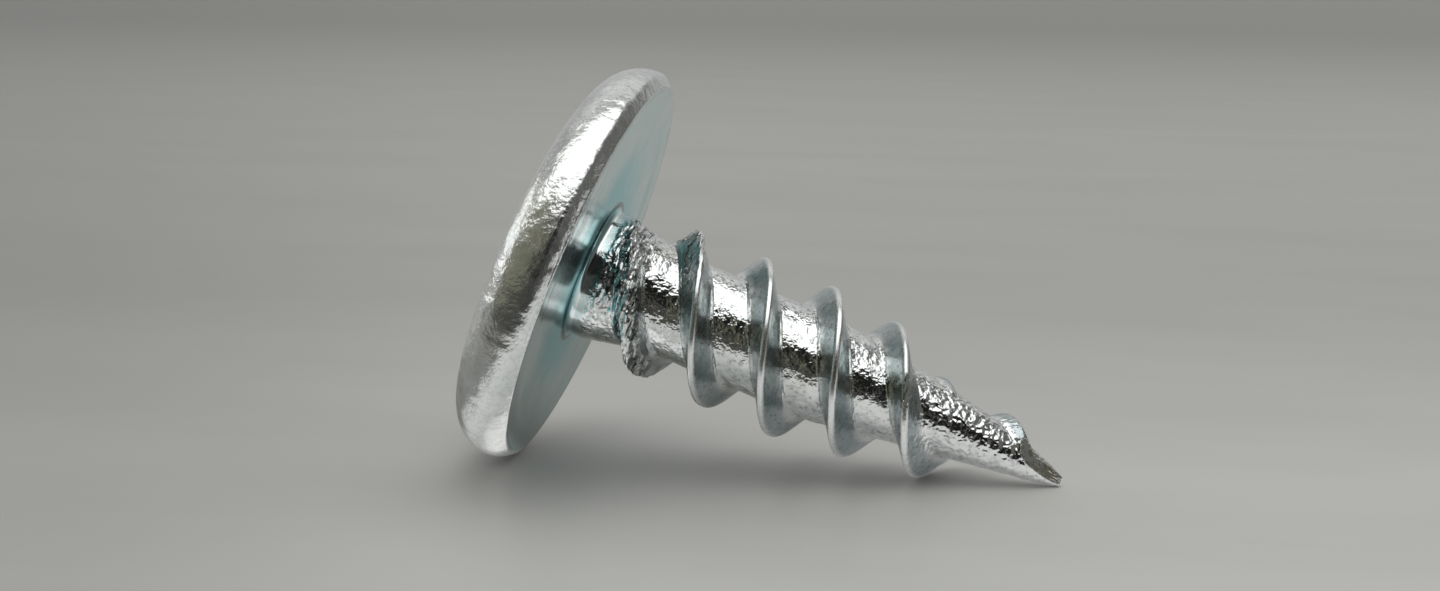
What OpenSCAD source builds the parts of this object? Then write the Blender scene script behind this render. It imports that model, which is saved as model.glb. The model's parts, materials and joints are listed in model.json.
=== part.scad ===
// Wafer head screw: a wide, low head with a cross recess, a short neck, a two-start right-hand
// thread for sheet metal and a pinched point, all cold-formed from one piece of wire.
// It lies as it comes to rest on a table, on its rim, on its last high crest and on its tip.
// The screw's own axis is Z, with the bearing face at 0, the head below and the tip above.

/* [Head] */
// Diameter of the head across its rim
head_d = 10.9; // [9:0.1:14]
// Height of the head from its bearing face to the top of its dome
head_h = 2.2; // [1.8:0.1:3.2]
// Radius of the rim's rounding on the dome side
rim_r = 1.15; // [0.5:0.05:1.6]
// Radius of the rim's rounding at the bearing face
edge_r = 0.28; // [0.16:0.02:0.6]

/* [Cross recess] */
// Span across two opposite wings at the top of the dome
cross_span = 4.4; // [3.6:0.1:5.4]
// Width of each wing
wing_w = 1.05; // [0.7:0.05:1.4]
// Width across the corner flats between the wings
web_w = 1.75; // [1.5:0.05:2.2]
// Depth of the wings below the top of the dome
cross_depth = 1.9; // [1.2:0.1:2.2]
// Lean of the wing ends from the screw's axis
wing_lean = 26.5; // [15:0.5:32]
// Depth of the cone below the wings
pit_h = 0.3; // [0.1:0.05:0.5]

/* [Neck and core] */
// Length from the bearing face to the tip
length = 13.2; // [11:0.1:17]
// Diameter of the plain neck under the head
neck_d = 3.4; // [3:0.05:3.8]
// Radius of the fillet where the neck meets the bearing face
neck_fillet = 0.45; // [0.1:0.05:0.5]
// Diameter of the core between the ridges of the thread
root_d = 2.74; // [2.4:0.02:3.2]

/* [Thread] */
// Outside diameter of the thread
thread_d = 4.2; // [3.6:0.1:4.8]
// Distance from crest to crest along the axis
crest_gap = 1.9; // [1.6:0.05:2.4]
// Width of a ridge at its base
ridge_w = 1.12; // [0.8:0.02:1.5]
// Width of a ridge at its crest
crest_w = 0.2; // [0.05:0.01:0.3]
// Distance from the bearing face to the start of the thread
thread_start = 0.2; // [0.1:0.1:1.5]
// Length over which the thread rises to its full height
thread_rise = 2.2; // [1.5:0.1:3.5]
// Length over which each ridge dies away on the point
thread_fade = 2.6; // [1:0.1:3]
// Distance from the tip to the end of the longer ridge
bare_tip = 0.85; // [0.5:0.05:2.5]
// Distance by which the shorter ridge ends before the longer one
short_by = 2.45; // [1.5:0.05:4]

/* [Point] */
// Length of the tapering point
point_l = 6.6; // [5:0.1:9]
// Diameter at the very tip
tip_d = 0.24; // [0.15:0.01:0.5]
// Share of the taper that is left for the last stretch before the tip
tip_blunt = 0.2; // [0:0.05:0.6]
// Distance that the pinched tip stands off the axis
tip_offset = 0.25; // [0:0.05:0.4]
// Slope of the flat that the pinching left on the tip
pinch_slope = 20; // [14:1:30]

/* [Rest] */
// Distance from the bearing face to the first crest on the side that the screw lies on
rest_crest = 0.38; // [0:0.02:1.9]

/* [Hidden] */
$fn = 96;

zinc = [0.72, 0.76, 0.76];
starts = 2;
steps = 32; // points round the shank, also the rings in one turn of the thread
arc_steps = 12; // straight lengths that stand for one arc of the head's outline
rim_land = 0.3; // straight part of the rim between its two roundings
rim_share = 0.85; // most of the height above the land that the rim's rounding may take
embed = 0.5; // length of the shank inside the head
overcut = 0.4; // height that the recess is cut above the dome
blunt_power = 6; // how late the point rounds off to its tip
bend_power = 3; // how late the point bends off the axis
bend_turn = 322; // side that the tip bends to, as a turn from the side that the screw lies on
pinch_land = 0.05; // distance from the axis to the pinched flat at the tip
pinch_turn = 240; // side of the pinched flat, as a turn from the side that the screw lies on
flank_power = 1.1; // 1 for straight flanks, more for flanks that hollow towards the core
fade_power = 2; // 1 for ridges that die away evenly, more for ridges that drop late
ridge_taper = 0.15; // share of its height that a full ridge would lose along the point
halvings = 24; // steps in the search for the angle at rest

head_r = head_d / 2;
thread_r = thread_d / 2;
root_r = root_d / 2;
neck_r = neck_d / 2;
tip_r = tip_d / 2;
lead = starts * crest_gap;
ring_gap = lead / steps;
point_z = length - point_l;
ridge_end = length - bare_tip;

// The rim's rounding meets the dome, and the dome is a sphere over the screw's axis
shoulder_z = -(edge_r + rim_land);
shoulder_h = head_h + shoulder_z;
rim_round = min(rim_r, rim_share * shoulder_h);
rim_center = head_r - rim_round;
dome_r = (shoulder_h ^ 2 + rim_center ^ 2 - rim_round ^ 2) / (2 * (shoulder_h - rim_round));
dome_z = dome_r - head_h;
dome_slope = asin(rim_center / (dome_r - rim_round));

// 0 up to 0, 1 from 1, and a smooth rise between
function ease(t) = let (u = min(1, max(0, t))) u * u * (3 - 2 * u);

// Points of an arc from angle a0 to a1, without its first point
function arc(r, z, radius, a0, a1) = [
    for (i = [1:arc_steps])
        let (a = a0 + (a1 - a0) * i / arc_steps)
        [r + radius * cos(a), z + radius * sin(a)]
];

// Half outline of the head: bearing face, rim and dome
head_outline = concat(
    [[0, 0], [head_r - edge_r, 0]],
    arc(head_r - edge_r, -edge_r, edge_r, 90, 0),
    [[head_r, shoulder_z]],
    arc(rim_center, shoulder_z, rim_round, 0, dome_slope - 90),
    arc(0, dome_z, dome_r, dome_slope - 90, -90)
);

// Widening of the neck at the bearing face
function fillet(z) =
    z >= neck_fillet ? 0 : neck_fillet - sqrt(neck_fillet ^ 2 - (neck_fillet - max(0, z)) ^ 2);

// Share of the way from the start of the point to the tip
function along_point(z) = max(0, (z - point_z) / point_l);

// Radius of the core, from the neck to the tip
function core(z) =
    let (
        neck = (neck_r - root_r) * (1 - ease((z - thread_start) / thread_rise)),
        w = along_point(z),
        taper = (1 - tip_blunt) * w + tip_blunt * w ^ blunt_power
    )
    root_r - (root_r - tip_r) * taper + neck + fillet(z);

// Height of a ridge above the core where it starts beside the neck and dies away on the point
function ridge_height(z, start) =
    let (
        rise = ease((z - thread_start) / thread_rise),
        left = min(1, max(0, (ridge_end - start * short_by - z) / thread_fade)),
        fade = (1 - (1 - left) ^ fade_power) * (1 - ridge_taper * along_point(z)),
        full = neck_r + (thread_r - neck_r) * rise - root_r - (neck_r - root_r) * (1 - rise)
    )
    max(0, full) * fade;

// Share of a ridge's height at a distance from its crest
function flank(distance) =
    let (half_crest = crest_w / 2)
    min(1, max(0, (ridge_w / 2 - abs(distance)) / (ridge_w / 2 - half_crest))) ^ flank_power;

// Radius of the pinched flat, where it lies inside the point
function pinch(turn, z) =
    let (facing = cos(turn - pinch_turn))
    facing < 0.1 ? head_r : (pinch_land + (length - z) * tan(pinch_slope)) / facing;

// Radius of the shank's surface at a turn from the side that the screw lies on
function skin_radius(turn, z) =
    let (
        crests = (z - rest_crest) / crest_gap - starts * turn / 360,
        nearest = round(crests),
        start = (nearest % starts + starts) % starts,
        ridge = ridge_height(z, 1 - start) * flank((crests - nearest) * crest_gap)
    )
    min(core(z) + ridge, pinch(turn, z));

// Rings of the shank. The thread climbs one ring at each step round, so its crests are mesh edges
first_ring = floor(-rest_crest / ring_gap) + 1;
last_ring = ceil((length - rest_crest) / ring_gap) - 1;
ring_z = concat([-embed, 0], [for (i = [first_ring:last_ring]) rest_crest + i * ring_gap], [length]);
shank_points = [
    for (z = ring_z, j = [0:steps - 1])
        let (
            turn = 360 * j / steps,
            r = skin_radius(turn, z),
            bend = tip_offset * along_point(z) ^ bend_power
        )
        [r * cos(turn) + bend * cos(bend_turn), r * sin(turn) + bend * sin(bend_turn), z]
];

// Farthest reach of the shank and of the head towards a table at an angle to the axis
function shank_reach(tilt) = max([for (p = shank_points) p.x * cos(tilt) + p.z * sin(tilt)]);
function head_reach(tilt) = (head_r - edge_r) * cos(tilt) - edge_r * sin(tilt) + edge_r;

// Angle between the axis and the table at which shank and head both touch it
function rest_tilt(low, high, left) =
    let (middle = (low + high) / 2)
    left == 0 ? middle
    : shank_reach(middle) > head_reach(middle) ? rest_tilt(low, middle, left - 1)
    : rest_tilt(middle, high, left - 1);

tilt = rest_tilt(0, 60, halvings);
front = max([for (p = shank_points) p.z * cos(tilt) - p.x * sin(tilt)]);
back = tilt > dome_slope
    ? rim_center * sin(tilt) - shoulder_z * cos(tilt) + rim_round
    : dome_r - dome_z * cos(tilt);

// Wide, low head with a flat bearing face
module head() {
    rotate_extrude() polygon(head_outline);
}

// Neck, core, both ridges of the thread and the point, as one closed surface
module shank() {
    rings = len(ring_z);
    sides = [
        for (i = [0:rings - 2], j = [0:steps - 1])
            let (
                here = i * steps,
                next = (j + 1) % steps
            )
            each [
                [here + j, here + steps + next, here + next],
                [here + j, here + steps + j, here + steps + next]
            ]
    ];
    ends = [
        [for (j = [0:steps - 1]) j],
        [for (j = [steps - 1:-1:0]) (rings - 1) * steps + j]
    ];
    polyhedron(shank_points, concat(sides, ends));
}

// One bar of the cross, long enough for both of its wings
module wings(depth) {
    translate([-cross_span, -wing_w / 2, 0]) cube([2 * cross_span, wing_w, depth]);
}

// Cross recess for a driver: four wings with leaning ends, flats in the corners and a cone below
module cross_recess() {
    cut_h = cross_depth + overcut;
    top_r = cross_span / 2 + overcut * tan(wing_lean);
    end_r = cross_span / 2 - cross_depth * tan(wing_lean);
    translate([0, 0, -head_h - overcut]) intersection() {
        cylinder(h = cut_h, r1 = top_r, r2 = end_r);
        union() {
            wings(cut_h);
            rotate(90) wings(cut_h);
            rotate(45) translate([-web_w / 2, -web_w / 2, 0]) cube([web_w, web_w, cut_h]);
        }
    }
    translate([0, 0, -head_h + cross_depth]) cylinder(h = pit_h, r1 = wing_w / 2, r2 = 0);
}

// From the screw's own axis to the table: tip towards +X, table at 0, middle of the length at 0
module at_rest() {
    translate([(back - front) / 2, 0, head_reach(tilt)]) rotate([0, 90 + tilt, 0]) children();
}

// The whole screw
module screw() {
    color(zinc) at_rest() difference() {
        union() {
            head();
            shank();
        }
        cross_recess();
    }
}

screw();
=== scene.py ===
"""A zinc-plated wafer head screw at rest on a pale table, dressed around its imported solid.

The screw is one closed surface. Its own frame is in millimetres: Z runs along the axis from the head to
the tip, with the bearing face at 0, X points at the table that the screw lies on, and a turn is an angle
about Z from X towards Y. The record's bearing_face mount says where that frame stands in the scene, which
is in metres. A zone of two values is a smooth step between them, and a zone of four a rise and a fall.
"""

import functools
import json
import logging
import math
from dataclasses import dataclass, field
from enum import Enum

import bpy
import numpy as np
from mathutils import Matrix

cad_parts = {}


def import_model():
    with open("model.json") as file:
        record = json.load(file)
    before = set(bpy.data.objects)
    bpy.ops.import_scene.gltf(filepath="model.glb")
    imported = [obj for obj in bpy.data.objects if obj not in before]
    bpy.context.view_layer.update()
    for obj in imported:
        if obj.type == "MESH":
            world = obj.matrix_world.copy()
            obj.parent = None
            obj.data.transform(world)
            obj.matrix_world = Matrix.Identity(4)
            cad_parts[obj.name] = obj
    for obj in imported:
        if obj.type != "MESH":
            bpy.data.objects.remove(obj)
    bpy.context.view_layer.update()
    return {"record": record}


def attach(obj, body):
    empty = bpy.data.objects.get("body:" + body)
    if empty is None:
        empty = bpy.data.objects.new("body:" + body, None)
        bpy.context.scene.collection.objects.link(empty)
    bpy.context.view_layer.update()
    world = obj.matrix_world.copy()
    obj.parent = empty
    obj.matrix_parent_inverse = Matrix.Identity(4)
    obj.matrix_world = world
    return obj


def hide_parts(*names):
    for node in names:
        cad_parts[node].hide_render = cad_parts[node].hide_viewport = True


LOG = logging.getLogger("wafer_head_screw")
MM = 0.001
TINY = 1e-9
BLACK = (0.0, 0.0, 0.0, 1.0)
PHOTO_WIDTH_PX = 1440
LATTICE_PRIMES = (73856093, 19349663, 83492791)
SEED_PRIME = 2654435761
BIT_MIXES = ((15, 2246822519), (13, 3266489917))
LAST_SHIFT = 16
LOW_BITS = 0xFFFFFFFF
BROAD_SHARE = 0.6
Socket = bpy.types.NodeSocket


class Ridge(Enum):
    """The two ridges of the thread: 1 for the one that ends earlier."""

    LONG = 0
    SHORT = 1


class Share(Enum):
    """Shares from 0 to 1 that the mesh carries as attributes, so that the finish can follow the forms."""

    CREST = "crest_share"
    TORN = "torn_share"
    FACE = "face_share"
    TINT = "tint_share"
    POINT = "point_share"
    FLAT = "flat_share"
    RIM = "rim_share"
    SHANK = "shank_share"


def ease(t: np.ndarray) -> np.ndarray:
    """Smooth rise from 0 at t = 0 to 1 at t = 1: 3u^2 - 2u^3 with u held between 0 and 1."""
    u = np.clip(t, 0.0, 1.0)
    return u * u * (3.0 - 2.0 * u)


def step(value: np.ndarray, start: float, end: float) -> np.ndarray:
    """Eased way of a value from start, where it gives 0, to end, where it gives 1."""
    return ease((value - start) / (end - start))


def band(value: np.ndarray, zone: tuple) -> np.ndarray:
    """1 inside a zone: an eased rise between its first two values, times a fall between its last two."""
    rise_start, rise_end, fall_start, fall_end = zone
    return step(value, rise_start, rise_end) * step(value, fall_end, fall_start)


def even_shares(steps: int) -> np.ndarray:
    """Even shares of a way, from the end of its first step to 1, as a column."""
    return np.linspace(0, 1, steps + 1)[1:, None]


@dataclass(frozen=True)
class Dents:
    """Seeded lattice noise for the dents that forging, rolling and tumbling leave in the metal.

    Attributes:
        seed: which pattern.
        cell: distance between two lattice points in mm.
    """

    seed: int
    cell: float

    def corner(self, cells: np.ndarray) -> np.ndarray:
        """Value from -1 to 1 at whole lattice points, from mixed bits of the three whole numbers.

        Args:
            cells: whole numbers, shape (..., 3).

        Returns:
            One value for each lattice point.
        """
        bits = cells.astype(np.int64).astype(np.uint64) * np.array(LATTICE_PRIMES, np.uint64)
        mixed = np.bitwise_xor.reduce(bits, axis=-1) ^ np.uint64(self.seed * SEED_PRIME)
        for shift, factor in BIT_MIXES:
            mixed = (mixed ^ mixed >> np.uint64(shift)) * np.uint64(factor) & np.uint64(LOW_BITS)
        return (mixed ^ mixed >> np.uint64(LAST_SHIFT)).astype(float) / 2.0**31 - 1.0

    def at(self, points: np.ndarray) -> np.ndarray:
        """Noise at points: the eight lattice values round a point, blended by eased distances.

        Args:
            points: mm, shape (..., 3).

        Returns:
            Values from -1 to 1, shape (...).
        """
        scaled = points / self.cell
        low = np.floor(scaled)
        weight = ease(scaled - low)
        total = np.zeros(points.shape[:-1])
        for corner in np.ndindex(2, 2, 2):
            share = np.prod(np.where(np.array(corner) == 1, weight, 1.0 - weight), axis=-1)
            total += share * self.corner(low + np.array(corner))
        return total


def two_sizes(broad: Dents, small: Dents, points: np.ndarray) -> np.ndarray:
    """Broad and small dents in one pattern from -1 to 1: a fixed share of the broad, the rest small."""
    return BROAD_SHARE * broad.at(points) + (1 - BROAD_SHARE) * small.at(points)


@dataclass
class Rows:
    """Rows of points round the screw's axis, from the recess over the head and down to the tip.

    Attributes:
        points: mm, shape (rows, columns, 3).
        shares: one array of shape (rows, columns) for each Share that isn't 0 there.
    """

    points: np.ndarray
    shares: dict[Share, np.ndarray] = field(default_factory=dict)

    def share(self, which: Share) -> np.ndarray:
        """The share's values, 0 where the rows don't carry it."""
        return self.shares.get(which, np.zeros(self.points.shape[:2]))


def polar(radius: np.ndarray, turn: np.ndarray, z: np.ndarray) -> np.ndarray:
    """Points at a radius and a turn about the axis: (r cos t, r sin t, z).

    Args:
        radius: mm.
        turn: radians.
        z: mm, and all three of shapes that fit together.

    Returns:
        Points with a last axis of 3.
    """
    radius, turn, z = np.broadcast_arrays(radius, turn, z)
    return np.stack([radius * np.cos(turn), radius * np.sin(turn), z], axis=-1)


@dataclass(frozen=True)
class WaferHead:
    """The wide, low head: cross recess, dome, bullnose rim and bearing face. Lengths in mm.

    Attributes:
        width, height: across the rim, and from the bearing face to the top of the dome.
        rim_r: radius of the rim's rounding on the dome side.
        edge_r: how far inside the rim the flat bearing face ends.
        rim_land: by how much more than that the widest part of the rim lies below the face.
        cross_span, wing_w, web_w: the recess across two wings, one wing and the flats in its corners.
        cross_depth, wing_lean, pit_h: depth of the wings, lean of their ends, depth of the cone below.
        mouth_r: rounding at the mouth of the recess.
        end_turn, flat_turn: turns of the columns that go to the wing's end and to its inner corner.
        thinner_top: by how much the head is thinner on its upper side as it lies.
        broad_dents, small_dents, dent_depth: the dents in dome and rim, and how deep they go.
        dented_from: distances from the axis between which the dents set in.
        even_edge: depth below the bearing face that has no dents.
        dish: hollow of the bearing face, deepest halfway from the neck to the rim.
        tint_peak, tint_zone: the passivate's tint on the face, and the shares of the way from the neck
            to the rim between which it fades.
        dome_dull, dull_zone: share of the rim's dullness that the dome has, and the distances from the
            centre of the rim's rounding between which the rest sets in.
        pit_steps to face_steps: how many rows each stretch has.
    """

    width: float = 10.9
    height: float = 2.2
    rim_r: float = 1.15
    edge_r: float = 0.28
    rim_land: float = 0.3
    cross_span: float = 4.4
    wing_w: float = 1.05
    web_w: float = 1.75
    cross_depth: float = 1.9
    wing_lean: float = math.radians(26.5)
    pit_h: float = 0.3
    mouth_r: float = 0.07
    end_turn: float = math.radians(20)
    flat_turn: float = math.radians(37.5)
    thinner_top: float = 0.2
    broad_dents: Dents = Dents(3, 0.95)
    small_dents: Dents = Dents(5, 0.42)
    dent_depth: float = 0.03
    dented_from: tuple = (2.6, 3.2)
    even_edge: float = 0.02
    dish: float = 0.05
    tint_peak: float = 0.9
    tint_zone: tuple = (0.05, 0.65)
    dome_dull: float = 0.35
    dull_zone: tuple = (-0.9, 0.1)
    pit_steps: int = 4
    floor_steps: int = 5
    wall_steps: int = 9
    mouth_steps: int = 4
    dome_steps: int = 32
    rim_steps: int = 30
    bulge_steps: int = 16
    face_steps: int = 23

    @property
    def radius(self) -> float:
        """Radius of the head across its rim."""
        return self.width / 2

    @property
    def floor_z(self) -> float:
        """Height of the recess's floor."""
        return self.cross_depth - self.height

    @property
    def shoulder_z(self) -> float:
        """Height at which the rim's rounding on the dome side begins."""
        return -(self.edge_r + self.rim_land)

    @property
    def rim_center(self) -> float:
        """Distance from the axis to the centre of the rim's rounding."""
        return self.radius - self.rim_r

    @property
    def dome_r(self) -> float:
        """Radius of the sphere that meets the rim's rounding and the top of the dome."""
        rise = self.height + self.shoulder_z
        return (rise**2 + self.rim_center**2 - self.rim_r**2) / (2 * (rise - self.rim_r))

    @property
    def dome_slope(self) -> float:
        """Slope of the dome where the rim's rounding takes over, in radians."""
        return math.asin(self.rim_center / (self.dome_r - self.rim_r))

    @property
    def bulge_r(self) -> float:
        """Radius of the bulge from the widest part of the rim to where the flat bearing face begins."""
        return (self.shoulder_z**2 + self.edge_r**2) / (2 * self.edge_r)

    def dome_height(self, radius: np.ndarray) -> np.ndarray:
        """Z of the dome at a distance from the axis: the sphere's centre less sqrt(R^2 - r^2)."""
        return self.dome_r - self.height - np.sqrt(self.dome_r**2 - radius**2)

    def wing_reach(self, z: np.ndarray) -> np.ndarray:
        """Distance from the axis to the leaning ends of the wings at a height."""
        return self.cross_span / 2 - (z + self.height) * math.tan(self.wing_lean)

    def cross_turns(self, turns: np.ndarray, reach: np.ndarray) -> np.ndarray:
        """Turns of the columns inside the recess, moved so that the cross's corners fall on columns.

        In each eighth of a circle, end_turn goes to the corner at the wing's end, and flat_turn to the
        corner where the wing meets the flat between two wings.

        Args:
            turns: even turns in radians, shape (columns,).
            reach: distance to the wing ends, shape (rows, 1).

        Returns:
            Turns in radians, shape (rows, columns).
        """
        eighth = math.pi / 4
        quarter = np.mod(turns, 2 * eighth)
        folded = np.minimum(quarter, 2 * eighth - quarter)
        side = np.where(quarter <= eighth, 1.0, -1.0)
        inner = math.atan2(self.wing_w / 2, self.web_w / math.sqrt(2) - self.wing_w / 2)
        ends = np.arcsin(self.wing_w / 2 / reach)
        first, second = self.end_turn, self.flat_turn
        near = folded * ends / first
        middle = ends + (folded - first) / (second - first) * (inner - ends)
        far = inner + (folded - second) / (eighth - second) * (eighth - inner)
        moved = np.where(folded <= first, near, np.where(folded <= second, middle, far))
        return turns + side * (moved - folded)

    def cross_radius(self, turn: np.ndarray, reach: np.ndarray) -> np.ndarray:
        """Distance from the axis to the recess wall: the farthest of two bars and a turned square.

        Args:
            turn: radians, as cross_turns gives them.
            reach: distance to the wing ends.

        Returns:
            The distance in mm.
        """
        half = self.wing_w / 2
        bar = np.minimum(half / np.maximum(np.abs(np.sin(turn)), TINY), reach)
        across = np.minimum(half / np.maximum(np.abs(np.cos(turn)), TINY), reach)
        corner = turn - math.pi / 4
        square = self.web_w / 2 / np.maximum(np.abs(np.cos(corner)), np.abs(np.sin(corner)))
        return np.maximum(np.maximum(bar, across), np.minimum(square, reach))

    def recess_rows(self, turns: np.ndarray) -> np.ndarray:
        """The recess from the pit's point outwards: cone, floor and leaning wall.

        Args:
            turns: even turns of the columns.

        Returns:
            Points of shape (rows, columns, 3).
        """
        cone = even_shares(self.pit_steps)
        start = self.wing_w / 2
        pit = polar(cone * start, turns, self.floor_z + self.pit_h * (1 - cone))
        reach = np.full((1, 1), self.wing_reach(np.array(self.floor_z)))
        across = self.cross_turns(turns, reach)
        outline = self.cross_radius(across, reach)
        out = even_shares(self.floor_steps)
        bottom = polar(start + (outline - start) * out, turns + (across - turns) * out, self.floor_z)
        top_z = self.dome_height(np.array(self.cross_span / 2)) + self.mouth_r
        wall_z = self.floor_z + (top_z - self.floor_z) * even_shares(self.wall_steps)
        reach = self.wing_reach(wall_z)
        across = self.cross_turns(turns, reach)
        wall = polar(self.cross_radius(across, reach), across, wall_z)
        return np.concatenate([pit, bottom, wall])

    def dome_rows(self, turns: np.ndarray) -> np.ndarray:
        """The dome from the mouth of the recess, over a small rounding, to the rim.

        The distance from the axis runs from the recess wall to the rim in even steps, and the columns
        go back to even turns on the way.

        Args:
            turns: even turns of the columns.

        Returns:
            Points of shape (rows, columns, 3).
        """
        reach = np.full((1, 1), self.wing_reach(self.dome_height(np.array(self.cross_span / 2))))
        across = self.cross_turns(turns, reach)
        mouth = self.cross_radius(across, reach)
        arc = np.linspace(math.pi / 4, math.pi / 2, self.mouth_steps)[:, None]
        roll = self.mouth_r * (1 - np.cos(arc))
        sunk = self.mouth_r - np.sqrt(self.mouth_r**2 - (self.mouth_r - roll) ** 2)
        rolled = polar(mouth + roll, across, self.dome_height(mouth + roll) + sunk)
        out = even_shares(self.dome_steps)
        first = mouth + self.mouth_r
        radius = first + (self.dome_r * math.sin(self.dome_slope) - first) * out
        dome = polar(radius, across + (turns - across) * ease(out), self.dome_height(radius))
        return np.concatenate([rolled, dome])

    def rim_outline(self) -> np.ndarray:
        """Half outline of the rim from the dome to the bearing face: the rounding's arc, then the bulge's.

        Returns:
            Radius and z of each row, shape (rows, 2).
        """
        over = np.linspace(self.dome_slope - math.pi / 2, 0, self.rim_steps + 1)[1:]
        under = np.linspace(0, math.asin(-self.shoulder_z / self.bulge_r), self.bulge_steps + 1)[1:]
        bulge_center = self.radius - self.bulge_r
        radius = np.concatenate([
            self.rim_center + self.rim_r * np.cos(over), bulge_center + self.bulge_r * np.cos(under)])
        z = self.shoulder_z + np.concatenate([self.rim_r * np.sin(over), self.bulge_r * np.sin(under)])
        return np.stack([radius, z], axis=1)

    def skewed(self, points: np.ndarray) -> np.ndarray:
        """The head with its dome side out of square: z grows by thinner_top * (1 - x / r) / 2 there.

        Args:
            points: mm, shape (rows, columns, 3).

        Returns:
            The moved points.
        """
        x, y, z = np.moveaxis(points, -1, 0)
        dome_side = step(z, 0.0, self.shoulder_z)
        return np.stack([x, y, z + self.thinner_top * (1 - x / self.radius) / 2 * dome_side], axis=-1)

    def dented(self, points: np.ndarray, turns: np.ndarray) -> np.ndarray:
        """The head with dents in dome and rim: points move towards the middle of the rim's rounding.

        Args:
            points: mm, shape (rows, columns, 3).
            turns: even turns of the columns.

        Returns:
            The moved points.
        """
        x, y, z = np.moveaxis(points, -1, 0)
        reach = np.hypot(x, y)
        hollows = (1 - two_sizes(self.broad_dents, self.small_dents, points)) / 2
        inward = polar(np.minimum(reach, self.rim_center), turns, self.shoulder_z) - points
        inward /= np.maximum(np.linalg.norm(inward, axis=-1, keepdims=True), TINY)
        depth = self.dent_depth * hollows * step(reach, *self.dented_from) * (z < -self.even_edge)
        return points + inward * depth[..., None]

    def rows(self, turns: np.ndarray, neck_r: float) -> Rows:
        """The whole head, skewed and dented, with the shares that its finish follows.

        Args:
            turns: even turns of the columns.
            neck_r: radius at which the neck's fillet takes over on the bearing face.

        Returns:
            The head's rows.
        """
        outline = self.rim_outline()
        rim = polar(outline[:, :1], turns, outline[:, 1:])
        face_edge = self.radius - self.edge_r
        inwards = np.linspace(face_edge, neck_r, self.face_steps + 1)[1:-1, None]
        way = (inwards - neck_r) / (face_edge - neck_r)
        face = polar(inwards, turns, -self.dish * np.sin(math.pi * way) ** 2)
        plain = np.concatenate([self.recess_rows(turns), self.dome_rows(turns), rim, face])
        points = self.dented(self.skewed(plain), turns)
        on_face = np.zeros(points.shape[:2])
        on_face[-len(face):] = 1.0
        tint = np.zeros(points.shape[:2])
        tint[-len(face):] = self.tint_peak * (1 - step(way, *self.tint_zone))
        out = np.hypot(points[..., 0], points[..., 1]) - self.rim_center
        dull = self.dome_dull + (1 - self.dome_dull) * step(out, *self.dull_zone)
        return Rows(points, {Share.FACE: on_face, Share.TINT: tint, Share.RIM: (1 - on_face) * dull})


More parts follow.
